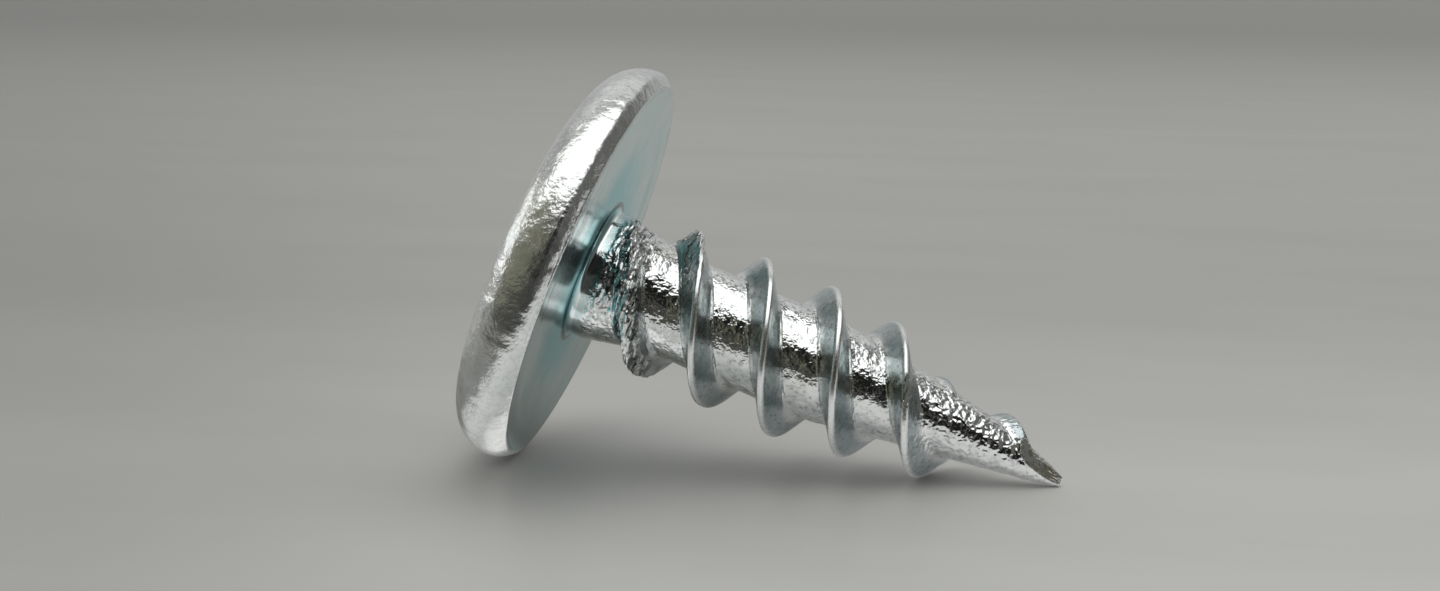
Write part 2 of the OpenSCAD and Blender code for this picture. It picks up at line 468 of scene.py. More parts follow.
@dataclass(frozen=True)
class ThreadedShank:
    """Neck, core, the two ridges of the thread and the pinched point. Lengths in mm.

    Attributes:
        length: from the bearing face to the tip.
        neck_d, neck_fillet: diameter of the neck, and radius of its fillet at the bearing face.
        root_d, thread_d: diameters of the core between the ridges and of the thread outside.
        crest_gap: from crest to crest along the axis.
        ridge_w, crest_w: width of a ridge at its foot and at its crest.
        crest_round: rounding of the crest, as a share of the ridge's height.
        flank_power: 1 for straight flanks, more for flanks that hollow towards the core.
        thread_start, thread_rise: where the thread starts, and over what length it rises.
        thread_fade, fade_power: over what length a ridge dies away on the point, and how late it drops.
        ridge_taper: share of its height that a full ridge would lose along the point.
        bare_tip, short_by: from the tip to the end of the longer ridge, and from there to the other's.
        point_l, tip_d: length of the point, and diameter at the very tip.
        tip_blunt, blunt_power: share of the taper left for the last stretch, and how late that comes.
        tip_offset, bend_power, bend_turn: how far off the axis the tip stands, how late the point bends
            and to which side.
        pinch_slope, pinch_land, pinch_turn: slope of the pinched flat, its distance from the axis at the
            tip, and its side.
        pinch_least: least cosine of the turn from that side at which the flat still cuts.
        rest_crest: from the bearing face to the first crest on the side that the screw lies on.
        full_ridge: height from which a ridge is whole to the finish.
        torn_crest, torn_ridge: the shares of a ridge's height between which tears set in on it, and the
            zone along the axis that has them.
        torn_neck, torn_upper: the zone of the neck that is torn, and the heights on it, from -1 at the
            table to 1 on top, between which its tears set in.
        torn_below, torn_above: how torn the neck is below, and what is added above.
        broad_tears, small_tears, tear_squeeze: the tears, and by how much they are narrowed along the axis.
        torn_depth, torn_sink, torn_lift: scale of the tears, how far the torn skin sinks, and what it may
            stand proud, as shares of that scale.
        broad_dimples, small_dimples, dimple_depth: the dimples of the core, and how deep they go.
        dimpled_crest: share of a ridge's height at which the dimples end.
        dimpled_from, dimpled_to: distances from the face and from the tip between which they set in.
        grainy_from: distances from the tip between which the point's grain sets in.
        plate_from: length beyond the fillet over which the core's finish sets in.
        fillet_steps, past_fillet: rows in the fillet, and how far past it the thread's rows begin.
    """

    length: float = 13.2
    neck_d: float = 3.4
    neck_fillet: float = 0.2
    root_d: float = 2.74
    thread_d: float = 4.2
    crest_gap: float = 1.9
    ridge_w: float = 0.96
    crest_w: float = 0.08
    crest_round: float = 0.09
    flank_power: float = 1.25
    thread_start: float = 0.2
    thread_rise: float = 2.2
    thread_fade: float = 2.6
    fade_power: float = 2.0
    ridge_taper: float = 0.15
    bare_tip: float = 0.85
    short_by: float = 2.45
    point_l: float = 6.6
    tip_d: float = 0.24
    tip_blunt: float = 0.2
    blunt_power: float = 6.0
    tip_offset: float = 0.25
    bend_power: float = 3.0
    bend_turn: float = math.radians(322)
    pinch_slope: float = math.radians(20)
    pinch_land: float = 0.05
    pinch_turn: float = math.radians(240)
    pinch_least: float = 0.1
    rest_crest: float = 0.38
    full_ridge: float = 0.3
    torn_crest: tuple = (0.15, 0.5)
    torn_ridge: tuple = (0.3, 0.6, 1.8, 3.2)
    torn_neck: tuple = (0.35, 0.65, 1.0, 1.5)
    torn_upper: tuple = (-0.76, 0.44)
    torn_below: float = 0.1
    torn_above: float = 0.8
    broad_tears: Dents = Dents(11, 0.22)
    small_tears: Dents = Dents(12, 0.11)
    tear_squeeze: float = 3.0
    torn_depth: float = 0.1
    torn_sink: float = 0.35
    torn_lift: float = 0.15
    broad_dimples: Dents = Dents(21, 0.23)
    small_dimples: Dents = Dents(22, 0.13)
    dimple_depth: float = 0.03
    dimpled_crest: float = 0.15
    dimpled_from: tuple = (0.5, 1.0)
    dimpled_to: tuple = (0.4, 1.4)
    grainy_from: tuple = (5.0, 3.0)
    plate_from: float = 0.4
    fillet_steps: int = 8
    past_fillet: float = 0.004

    @property
    def fillet_r(self) -> float:
        """Radius at which the neck's fillet meets the bearing face."""
        return self.neck_d / 2 + self.neck_fillet

    def rise(self, z: np.ndarray) -> np.ndarray:
        """Share of its full height that the thread has at a distance from the bearing face."""
        return ease((z - self.thread_start) / self.thread_rise)

    def along_point(self, z: np.ndarray) -> np.ndarray:
        """Share of the way from the start of the point to the tip."""
        return np.maximum(0.0, (z - self.length + self.point_l) / self.point_l)

    def core(self, z: np.ndarray) -> np.ndarray:
        """Radius of the core: neck, then root, then a taper that rounds off late, with the neck's fillet.

        Args:
            z: mm from the bearing face.

        Returns:
            The radius in mm.
        """
        w = self.along_point(z)
        taper = (1 - self.tip_blunt) * w + self.tip_blunt * w**self.blunt_power
        root, tip = self.root_d / 2, self.tip_d / 2
        neck = (self.neck_d / 2 - root) * (1 - self.rise(z))
        left = np.clip(self.neck_fillet - z, 0.0, self.neck_fillet)
        fillet = self.neck_fillet - np.sqrt(self.neck_fillet**2 - left**2)
        return root - (root - tip) * taper + neck + fillet

    def ridge_height(self, z: np.ndarray, ridge: Ridge) -> np.ndarray:
        """Height of a ridge above the core: it rises beside the neck and dies away on the point.

        Args:
            z: mm from the bearing face.
            ridge: which of the two.

        Returns:
            The height in mm.
        """
        end = self.length - self.bare_tip - ridge.value * self.short_by
        left = np.clip((end - z) / self.thread_fade, 0.0, 1.0)
        fade = (1 - (1 - left) ** self.fade_power) * (1 - self.ridge_taper * self.along_point(z))
        return (self.thread_d - self.root_d) / 2 * self.rise(z) * fade

    def flank(self, distance: np.ndarray) -> np.ndarray:
        """Share of a ridge's height at a distance from its crest: hollow flanks and a rounded crest.

        Args:
            distance: mm along the axis.

        Returns:
            The share, 1 at the crest and 0 from the foot on.
        """
        half, land = self.ridge_w / 2, self.crest_w / 2
        rising = np.clip((half - np.abs(distance)) / (half - land), 0.0, 1.0) ** self.flank_power
        soft = self.crest_round
        top = math.hypot(1.0, soft)
        return (top - np.hypot(1.0 - rising, soft)) / (top - soft)

    def skin(self, turn: np.ndarray, z: np.ndarray) -> tuple[np.ndarray, np.ndarray, np.ndarray]:
        """Radius of the shank, how near its crest a point is, and where the point is pinched.

        The crests lie on two helices, (z - rest_crest) / crest_gap - 2 turn / 2 pi whole. The pinched flat
        cuts off what lies outside its plane.

        Args:
            turn: radians.
            z: mm from the bearing face.

        Returns:
            The radius in mm, the share of a ridge's height, and True on the pinched flat.
        """
        crests = (z - self.rest_crest) / self.crest_gap - turn / math.pi
        nearest = np.round(crests)
        tall = np.where(
            np.mod(nearest, 2) == 1, self.ridge_height(z, Ridge.LONG), self.ridge_height(z, Ridge.SHORT)
        )
        share = self.flank((crests - nearest) * self.crest_gap)
        facing = np.cos(turn - self.pinch_turn)
        plane = self.pinch_land + (self.length - z) * math.tan(self.pinch_slope)
        flat = plane / np.maximum(facing, self.pinch_least)
        radius = self.core(z) + tall * share
        pinched = (facing > self.pinch_least) & (flat < radius)
        crest = np.where(pinched, 0.0, share * np.minimum(1.0, tall / self.full_ridge))
        return np.where(pinched, flat, radius), crest, pinched

    def torn(self, turns: np.ndarray, z: np.ndarray, crest: np.ndarray) -> np.ndarray:
        """How torn the metal is: the ridges' first turn, and the neck beside it, more on its upper side.

        Args:
            turns: even turns of the columns.
            z: mm from the bearing face, shape (rows, 1).
            crest: share of a ridge's height, shape (rows, columns).

        Returns:
            Shares from 0 to 1, shape (rows, columns).
        """
        on_ridge = step(crest, *self.torn_crest) * band(z, self.torn_ridge)
        upper = step(-np.cos(turns), *self.torn_upper)
        return np.maximum(on_ridge, (self.torn_below + self.torn_above * upper) * band(z, self.torn_neck))

    def rows(self, turns: np.ndarray) -> Rows:
        """The whole shank from its fillet to the tip, with a dimpled core and a torn first turn.

        The rows are one column's climb of the thread apart, so the crests run along mesh edges.

        Args:
            turns: even turns of the columns.

        Returns:
            The shank's rows.
        """
        gap = 2 * self.crest_gap / len(turns)
        first = math.ceil((self.neck_fillet + self.past_fillet - self.rest_crest) / gap)
        last = math.ceil((self.length - self.rest_crest) / gap) - 1
        in_fillet = self.neck_fillet * (1 - np.cos(np.linspace(0, math.pi / 2, self.fillet_steps + 1)))
        along = np.concatenate([in_fillet, self.rest_crest + np.arange(first, last + 1) * gap])
        z = np.minimum(along, self.length)[:, None]
        to_tip = self.length - z
        radius, crest, pinched = self.skin(turns[None, :], z)
        plain = polar(radius, turns, z)
        torn = self.torn(turns, z, crest)
        tears = two_sizes(self.broad_tears, self.small_tears, plain * [1.0, 1.0, self.tear_squeeze])
        radius = radius + self.torn_depth * torn * np.minimum(tears - self.torn_sink, self.torn_lift)
        hollows = (1 - two_sizes(self.broad_dimples, self.small_dimples, plain)) / 2
        dimpled = step(crest, self.dimpled_crest, 0.0) * step(z, *self.dimpled_from)
        radius = radius - self.dimple_depth * dimpled * step(to_tip, *self.dimpled_to) * ~pinched * hollows
        bend = self.tip_offset * self.along_point(z) ** self.bend_power
        points = polar(radius, turns, z) + polar(bend, self.bend_turn, 0.0)
        all_round = np.ones_like(radius)
        # By the face the fillet takes the passivate's tint, and at its foot the plate paints shade as a dark
        # line round the neck.
        by_face = step(z, self.neck_fillet, 0.0) * all_round
        return Rows(points, {
            Share.CREST: crest,
            Share.TORN: torn,
            Share.FACE: by_face / 2,
            Share.TINT: by_face,
            Share.POINT: step(to_tip, *self.grainy_from) * ~pinched,
            Share.FLAT: pinched.astype(float),
            Share.SHANK: step(z - self.neck_fillet, 0.0, self.plate_from) * all_round,
        })


class Wiring:
    """A short way to place nodes in a tree and to join them."""

    def __init__(self, tree: bpy.types.NodeTree) -> None:
        """Keep the tree and clear it."""
        self.tree = tree
        tree.nodes.clear()

    def node(self, kind: str, inputs: dict | None = None, **settings: object) -> bpy.types.Node:
        """Place a node.

        Args:
            kind: Blender's name of the node type.
            inputs: socket name or number to a plain value or to another node's output.
            settings: properties of the node.

        Returns:
            The node.
        """
        placed = self.tree.nodes.new(kind)
        for name, value in settings.items():
            setattr(placed, name, value)
        for socket, value in (inputs or {}).items():
            self.feed(placed.inputs[socket], value)
        return placed

    def feed(self, socket: Socket, value: object) -> None:
        """Join an output to a socket, or set the socket's own value.

        Args:
            socket: a node's input.
            value: another node's output, or a plain value.
        """
        if isinstance(value, Socket):
            self.tree.links.new(value, socket)
        else:
            socket.default_value = value

    def math(self, operation: str, a: object, b: object = 0.0, clamp: bool = False) -> Socket:
        """A number worked out from two others."""
        return self.node("ShaderNodeMath", {0: a, 1: b}, operation=operation, use_clamp=clamp).outputs[0]

    def dot(self, vector: object, direction: tuple) -> Socket:
        """How far a vector reaches along a direction."""
        sockets = {0: vector, 1: direction}
        return self.node("ShaderNodeVectorMath", sockets, operation="DOT_PRODUCT").outputs["Value"]

    def ramp(self, value: object, low: float, high: float, to: tuple = (0.0, 1.0)) -> Socket:
        """A smooth step of a value from low to high, onto the range that is given."""
        sockets = {"Value": value, "From Min": low, "From Max": high, "To Min": to[0], "To Max": to[1]}
        return self.node("ShaderNodeMapRange", sockets, interpolation_type="SMOOTHSTEP").outputs[0]

    def band(self, value: object, zone: tuple) -> Socket:
        """1 inside a zone: a smooth rise between its first two values, times a fall between its last two."""
        risen, fallen = self.ramp(value, zone[0], zone[1]), self.ramp(value, zone[3], zone[2])
        return self.math("MULTIPLY", risen, fallen)

    def mix(self, share: object, a: object, b: object) -> Socket:
        """A colour between two others.

        Args:
            share: 0 for the first colour, 1 for the second.
            a: the first colour.
            b: the second colour.

        Returns:
            The mixed colour.
        """
        placed = self.node("ShaderNodeMix", data_type="RGBA")
        for socket, value in (("Factor_Float", share), ("A_Color", a), ("B_Color", b)):
            self.feed(next(s for s in placed.inputs if s.identifier == socket), value)
        return next(s for s in placed.outputs if s.identifier == "Result_Color")

    def noise(self, vector: object, scale: float, detail: float = 2.0, rough: float = 0.55) -> Socket:
        """Cloudy noise from about 0.25 to 0.75."""
        sockets = {"Vector": vector, "Scale": scale, "Detail": detail, "Roughness": rough}
        return self.node("ShaderNodeTexNoise", sockets).outputs[0]

    def scaled(self, vector: object, scale: tuple) -> Socket:
        """Coordinates stretched along each axis."""
        return self.node("ShaderNodeMapping", {"Vector": vector, "Scale": scale}).outputs[0]

    def total(self, *terms: tuple) -> Socket:
        """The sum of the terms, each the product of its factors."""
        products = [functools.reduce(lambda a, b: self.math("MULTIPLY", a, b), term) for term in terms]
        return functools.reduce(lambda a, b: self.math("ADD", a, b), products)


def fine_scuffs() -> bpy.types.NodeTree:
    """The group of fine scuffs that plate and table share: thin stretched noise, cut to its peaks.

    Returns:
        A group with a Vector in and a Mask out. The scuffs run along the vector's first axis.
    """
    group = bpy.data.node_groups.new("fine_scuffs", "ShaderNodeTree")
    group.interface.new_socket("Vector", in_out="INPUT", socket_type="NodeSocketVector")
    group.interface.new_socket("Mask", in_out="OUTPUT", socket_type="NodeSocketFloat")
    wires = Wiring(group)
    start = wires.node("NodeGroupInput").outputs[0]
    long_marks = wires.noise(wires.scaled(start, (0.6, 16.0, 1.0)), 1.0, 3.0, 0.7)
    breaks = wires.noise(start, 1.4, 2.0)
    marks = wires.math("MULTIPLY", wires.ramp(long_marks, 0.56, 0.72), wires.ramp(breaks, 0.42, 0.6))
    wires.node("NodeGroupOutput", {"Mask": marks})
    return group


@dataclass(frozen=True)
class ZincPlate:
    """Bright zinc with a thin blue-clear passivate, dimpled and pitted as cold-formed steel is under it.

    Attributes:
        zinc, dull: the bright metal, and a duller tone: random clouds on rim and core, and painted shade on
            the thread's flanks.
        passivate, crease: the film's tint on the bearing face, and painted shade, a dark line where the neck
            meets it.
        olive, violet: stains on the core and the pinched flat, and on the point.
        pit: the bottom of pits and tears, darkened near black as painted shade in them.
        roughness: of the bright metal, in its dimples and between them.
    """

    zinc: tuple = (0.80, 0.81, 0.80, 1.0)
    dull: tuple = (0.40, 0.46, 0.47, 1.0)
    passivate: tuple = (0.26, 0.62, 0.66, 1.0)
    olive: tuple = (0.62, 0.60, 0.48, 1.0)
    violet: tuple = (0.55, 0.46, 0.64, 1.0)
    pit: tuple = (0.05, 0.05, 0.045, 1.0)
    crease_shade: tuple = (0.04, 0.075, 0.09, 1.0)
    roughness: tuple = (0.05, 0.1)

    def material(self, scuffs: bpy.types.NodeTree) -> bpy.types.Material:
        """Build the plate's material. Its relief is worked out in mm.

        Args:
            scuffs: the group of fine scuffs.

        Returns:
            The material.
        """
        material = bpy.data.materials.new("zinc_plate")
        material.use_nodes = True
        wires = PlateWiring(material.node_tree, scuffs)
        pits = wires.pits()
        bump = wires.node("ShaderNodeBump", {"Strength": 1.0, "Distance": MM, "Height": wires.relief(pits)})
        shader = wires.node("ShaderNodeBsdfPrincipled", {
            # Pits and tears take the near-black pit colour: painted shade in them.
            "Base Color": wires.mix(pits, wires.colour(self), self.pit),
            "Roughness": wires.roughness(self.roughness),
            "Metallic": 1.0,
            "Normal": bump.outputs[0],
        })
        wires.node("ShaderNodeOutputMaterial", {"Surface": shader.outputs[0]})
        return material


class PlateWiring(Wiring):
    """The plate's nodes: noise per mm, zones from the mesh's shares, and what is mixed from the two.

    In its sums each term is a pattern, the zone that it shows in and how much it counts there.
    """

    def __init__(self, tree: bpy.types.NodeTree, scuffs: bpy.types.NodeTree) -> None:
        """Place the patterns and the zones.

        Args:
            tree: the material's node tree.
            scuffs: the group of fine scuffs.
        """
        super().__init__(tree)
        place = self.node("ShaderNodeTexCoord")
        mm = self.scaled(place.outputs["Object"], (1 / MM,) * 3)
        round_and_along = place.outputs["UV"]
        self.clouds = self.noise(mm, 0.9, 3.0)
        self.dents = self.noise(mm, 1.8, 1.0)
        self.waves = self.noise(mm, 4.5, 0.0)
        self.specks = self.noise(mm, 8.0, 2.0, 0.6)
        self.blobs = self.noise(mm, 8.6, 0.5)
        self.dimples = self.noise(mm, 10.0, 1.0, 0.6)
        self.grain = self.noise(mm, 28.0, 2.0)
        self.tears = self.noise(self.scaled(round_and_along, (1.2, 4.0, 1.0)), 2.0, 1.5, 0.6)

        carried = {s: self.node("ShaderNodeAttribute", attribute_name=s.value).outputs["Fac"] for s in Share}
        self.torn, self.point = carried[Share.TORN], carried[Share.POINT]
        self.face, self.tint = carried[Share.FACE], carried[Share.TINT]
        self.rim, self.flat = carried[Share.RIM], carried[Share.FLAT]
        crest = carried[Share.CREST]
        self.crest = self.ramp(crest, 0.85, 1.0)
        self.flank = self.band(crest, (0.05, 0.4, 0.85, 1.0))
        between = self.math("MULTIPLY", self.ramp(crest, 0.15, 0.02), carried[Share.SHANK])
        self.core = self.total((between, self.ramp(self.face, 0.5, 0.0), self.ramp(self.flat, 1.0, 0.0)))
        self.straight = self.math("MULTIPLY", self.core, self.ramp(self.point, 0.0, 1.0, (1.0, 0.3)))
        scuffed = self.node("ShaderNodeGroup", {0: round_and_along}, node_tree=scuffs).outputs[0]
        self.marks = self.math("MULTIPLY", scuffed, self.ramp(self.face, 0.3, 0.0))

    def pits(self) -> Socket:
        """Where the plate is gone: small pits in the worn zones, and tears that go through it.

        Returns:
            A share from 0 to 1.
        """
        worn = self.total((self.torn, 0.8), (self.straight, 0.38), (self.flank, 0.4))
        small = self.math("MULTIPLY", self.ramp(self.specks, 0.585, 0.66), worn, clamp=True)
        torn_through = self.total((self.ramp(self.tears, 0.5, 0.6), self.torn, 0.85))
        return self.math("MAXIMUM", small, torn_through)

    def colour(self, plate: ZincPlate) -> Socket:
        """The plate's colour without its pits: zinc, painted shade on the flanks, the passivate's tint, a
        painted dark line round the neck, then each stain and random tone laid over the last.

        Args:
            plate: the finish, with its colours.

        Returns:
            The colour.
        """
        # Painted shade on the thread's flanks, less on the torn first turn, broken up by clouds.
        whole = self.ramp(self.torn, 0.0, 0.8, (1.0, 0.1))
        flank_shade = self.total((self.ramp(self.clouds, 0.3, 0.6, (0.6, 1.0)), self.flank, whole))
        colour = self.mix(flank_shade, plate.zinc, plate.dull)
        tinted = self.total((self.ramp(self.clouds, 0.3, 0.6, (0.2, 0.4)), self.face), (self.tint, 0.75))
        colour = self.mix(self.math("MINIMUM", tinted, 1.0), colour, plate.passivate)
        # Painted shade: a dark line where the fillet meets the bearing face.
        colour = self.mix(self.ramp(self.tint, 0.92, 1.0), colour, plate.crease_shade)
        mottled = self.total(
            (self.ramp(self.clouds, 0.45, 0.6), self.rim, 0.2),
            (self.ramp(self.specks, 0.48, 0.62), self.rim, 0.2),
        )
        colour = self.mix(mottled, colour, plate.dull)
        browned = self.total(
            (self.ramp(self.clouds, 0.5, 0.66), self.core, 0.25),
            (self.ramp(self.waves, 0.4, 0.6), self.flat, 0.8),
        )
        colour = self.mix(browned, colour, plate.olive)
        bruised = self.total((self.ramp(self.specks, 0.56, 0.64), self.point, 0.3))
        colour = self.mix(bruised, colour, plate.violet)
        clouded = self.total(
            (self.marks, self.core, 0.2),
            (self.ramp(self.waves, 0.48, 0.66), self.core, 0.2),
            (self.ramp(self.specks, 0.48, 0.6), self.core, 0.2),
        )
        return self.mix(clouded, colour, plate.dull)

    def roughness(self, bright: tuple) -> Socket:
        """The plate's roughness: the bright metal's own, and what each zone adds to it.

        Args:
            bright: roughness in the dimples and between them.

        Returns:
            The roughness.
        """
        return self.total(
            (self.ramp(self.dimples, 0.3, 0.7, bright), ),
            (self.rim, 0.16),
            (self.flank, 0.16),
            (self.crest, 0.2),
            (self.face, 0.12),
            (self.marks, 0.1),
        )

    def relief(self, pits: Socket) -> Socket:
        """The plate's fine relief.

        Args:
            pits: where the plate is gone.

        Returns:
            The height in mm.
        """
        return self.total(
            (self.dents, self.rim, 0.07),
            (self.dimples, self.rim, 0.013),
            (self.grain, self.rim, 0.0018),
            (self.waves, self.straight, 0.022),
            (self.dimples, self.straight, 0.019),
            (self.waves, self.flank, 0.012),
            (self.tears, self.flank, 0.012),
            (self.blobs, self.point, 0.042),
            (self.tears, self.flat, 0.03),
            (self.tears, self.torn, 0.06),
            (self.waves, self.torn, 0.06),
            (self.blobs, self.torn, 0.03),
            (self.dimples, 0.001),
            (self.grain, 0.0006),
            (self.marks, -0.0015),
            (pits, -0.004),
        )


@dataclass(frozen=True)
class PlatedScrew:
    """The whole screw as one closed skin: the head's rows, then the shank's, with a pole at each end.

    Attributes:
        head, shank: the two stretches of the skin.
        columns: points round the axis in each row.
        name: the piece's name.
    """

    head: WaferHead = WaferHead()
    shank: ThreadedShank = ThreadedShank()
    columns: int = 144
    name: str = "plated_screw"

    def build(self, record: dict, finish: bpy.types.Material) -> bpy.types.Object:
        """Make the screw's mesh, put it where the record says, and dress it.

        Args:
            record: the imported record, with the bearing_face mount.
            finish: the plate's material.

        Returns:
            The screw's object.
        """
        turns = np.arange(self.columns) * 2 * math.pi / self.columns
        parts = [self.head.rows(turns, self.shank.fillet_r), self.shank.rows(turns)]
        points = np.concatenate([part.points for part in parts])
        pit = [*points[0, :, :2].mean(axis=0), self.head.floor_z + self.head.pit_h]
        tip = [*points[-1, :, :2].mean(axis=0), self.shank.length]
        local = np.concatenate([[pit], points.reshape(-1, 3), [tip]])
        axes, origin = self.frame(record)
        mesh = self.mesh(local @ axes * MM + origin, len(points))
        for which in Share:
            flat = np.concatenate([part.share(which) for part in parts]).ravel()
            values = np.concatenate([flat[:1], flat, flat[-1:]]).astype(np.float32)
            mesh.attributes.new(which.value, "FLOAT", "POINT").data.foreach_set("value", values)
        mesh.materials.append(finish)
        screw = bpy.data.objects.new(self.name, mesh)
        bpy.context.scene.collection.objects.link(screw)
        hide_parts("screw")
        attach(screw, "root")
        return screw

    @staticmethod
    def frame(record: dict) -> tuple[np.ndarray, np.ndarray]:
        """The screw's own frame in the scene.

        Args:
            record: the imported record.

        Returns:
            The frame's three axes as rows, and its origin in metres.
        """
        mount = next(m for m in record["mounts"] if m["name"] == "bearing_face")
        axis = np.array(mount["axis"]) / np.linalg.norm(mount["axis"])
        across = np.array([0.0, 1.0, 0.0])
        return np.array([np.cross(across, axis), across, axis]), np.array(mount["pos_m"])

    def mesh(self, points: np.ndarray, rows: int) -> bpy.types.Mesh:
        """Join the points into triangles whose diagonals climb with the thread.

        Args:
            points: metres, first the pole in the pit, then the rows, then the tip.
            rows: how many rows there are.

        Returns:
            The mesh, smooth shaded, with a UV map of mm round the shank and mm along it.
        """
        n = self.columns
        ring = np.arange(n)
        column = np.tile(ring, rows - 1)
        row_start = 1 + np.repeat(np.arange(rows - 1), n) * n
        here, beside = row_start + column, row_start + (column + 1) % n
        last_start = 1 + (rows - 1) * n
        corners = np.concatenate([
            np.stack([0 * ring, 1 + (ring + 1) % n, 1 + ring], 1),
            np.stack([here, beside, beside + n], 1),
            np.stack([here, beside + n, here + n], 1),
            np.stack([last_start + ring, last_start + (ring + 1) % n, 0 * ring + last_start + n], 1),
        ])
        steps = np.concatenate([
            np.stack([ring, ring + 1, ring], 1),
            np.stack([column, column + 1, column + 1], 1),
            np.stack([column, column + 1, column], 1),
            np.stack([ring, ring + 1, ring], 1),
        ])
        levels = np.concatenate([[0], 1 + np.repeat(np.arange(rows), n), [rows + 1]])[corners]
        mesh = bpy.data.meshes.new(self.name)
        mesh.vertices.add(len(points))
        mesh.vertices.foreach_set("co", points.astype(np.float32).ravel())
        mesh.loops.add(corners.size)
        mesh.loops.foreach_set("vertex_index", corners.astype(np.int32).ravel())
        mesh.polygons.add(len(corners))
        mesh.polygons.foreach_set("loop_start", np.arange(0, corners.size, 3, dtype=np.int32))
        mesh.update(calc_edges=True)
        mesh.validate()
        around = steps / n * math.pi * self.shank.root_d
        along = levels * 2 * self.shank.crest_gap / n
        uv = np.stack([around.ravel(), along.ravel()], 1).astype(np.float32)
        mesh.uv_layers.new(name="round_and_along").data.foreach_set("uv", uv.ravel())
        mesh.shade_smooth()
        return mesh


@dataclass(frozen=True)
class Viewpoint:
    """A close camera that looks at the screw from the front, a little above the table. Lengths in mm.

    Attributes:
        azimuth, elevation, roll: the camera's turn from the front, its height over the table and its tilt.
        distance, aim: how far the camera stands from the point that it is turned about.
        shift: how far it is moved to its right and upwards from there.
        focal_px: focal length in pixels of the whole frame.
        sensor: width of the sensor.
        clip: nearest and farthest distance that it shows.
    """

    azimuth: float = math.radians(9.62)
    elevation: float = math.radians(10.13)
    roll: float = math.radians(0.83)
    distance: float = 50.41
    aim: tuple = (0.0, 0.0, 4.0)
    shift: tuple = (-1.139, 0.557)
    focal_px: float = 1955.0
    sensor: float = 36.0
    clip: tuple = (5.0, 20000.0)

    def depth(self, wires: Wiring, vector: object) -> Socket:
        """How far a point or a direction is towards the camera's side, along the table."""
        return wires.dot(vector, (math.sin(self.azimuth), -math.cos(self.azimuth), 0.0))

    def across(self, wires: Wiring, vector: object) -> Socket:
        """How far a point or a direction is to the camera's right, along the table."""
        return wires.dot(vector, (math.cos(self.azimuth), math.sin(self.azimuth), 0.0))

    def axes(self) -> tuple[np.ndarray, np.ndarray, np.ndarray]:
        """The camera's own directions.

        Returns:
            Right, up and back, as unit vectors.
        """
        a, e, r = self.azimuth, self.elevation, self.roll
        back = np.array([math.sin(a) * math.cos(e), -math.cos(a) * math.cos(e), math.sin(e)])
        level = np.array([math.cos(a), math.sin(a), 0.0])
        right = math.cos(r) * level + math.sin(r) * np.cross(back, level)
        return right, np.cross(back, right), back

    def build(self) -> bpy.types.Object:
        """Make the camera and use it for the scene.

        Returns:
            The camera.
        """
        right, up, back = self.axes()
        data = bpy.data.cameras.new("front_view")
        data.sensor_fit = "HORIZONTAL"
        data.sensor_width = self.sensor
        data.lens = self.focal_px / PHOTO_WIDTH_PX * self.sensor
        data.clip_start, data.clip_end = (limit * MM for limit in self.clip)
        camera = bpy.data.objects.new("front_view", data)
        place = np.array(self.aim) + back * self.distance + right * self.shift[0] + up * self.shift[1]
        columns = np.stack([right, up, back, place * MM], axis=1)
        camera.matrix_world = Matrix([*columns.tolist(), [0.0, 0.0, 0.0, 1.0]])
        bpy.context.scene.collection.objects.link(camera)
        bpy.context.scene.camera = camera
        return camera


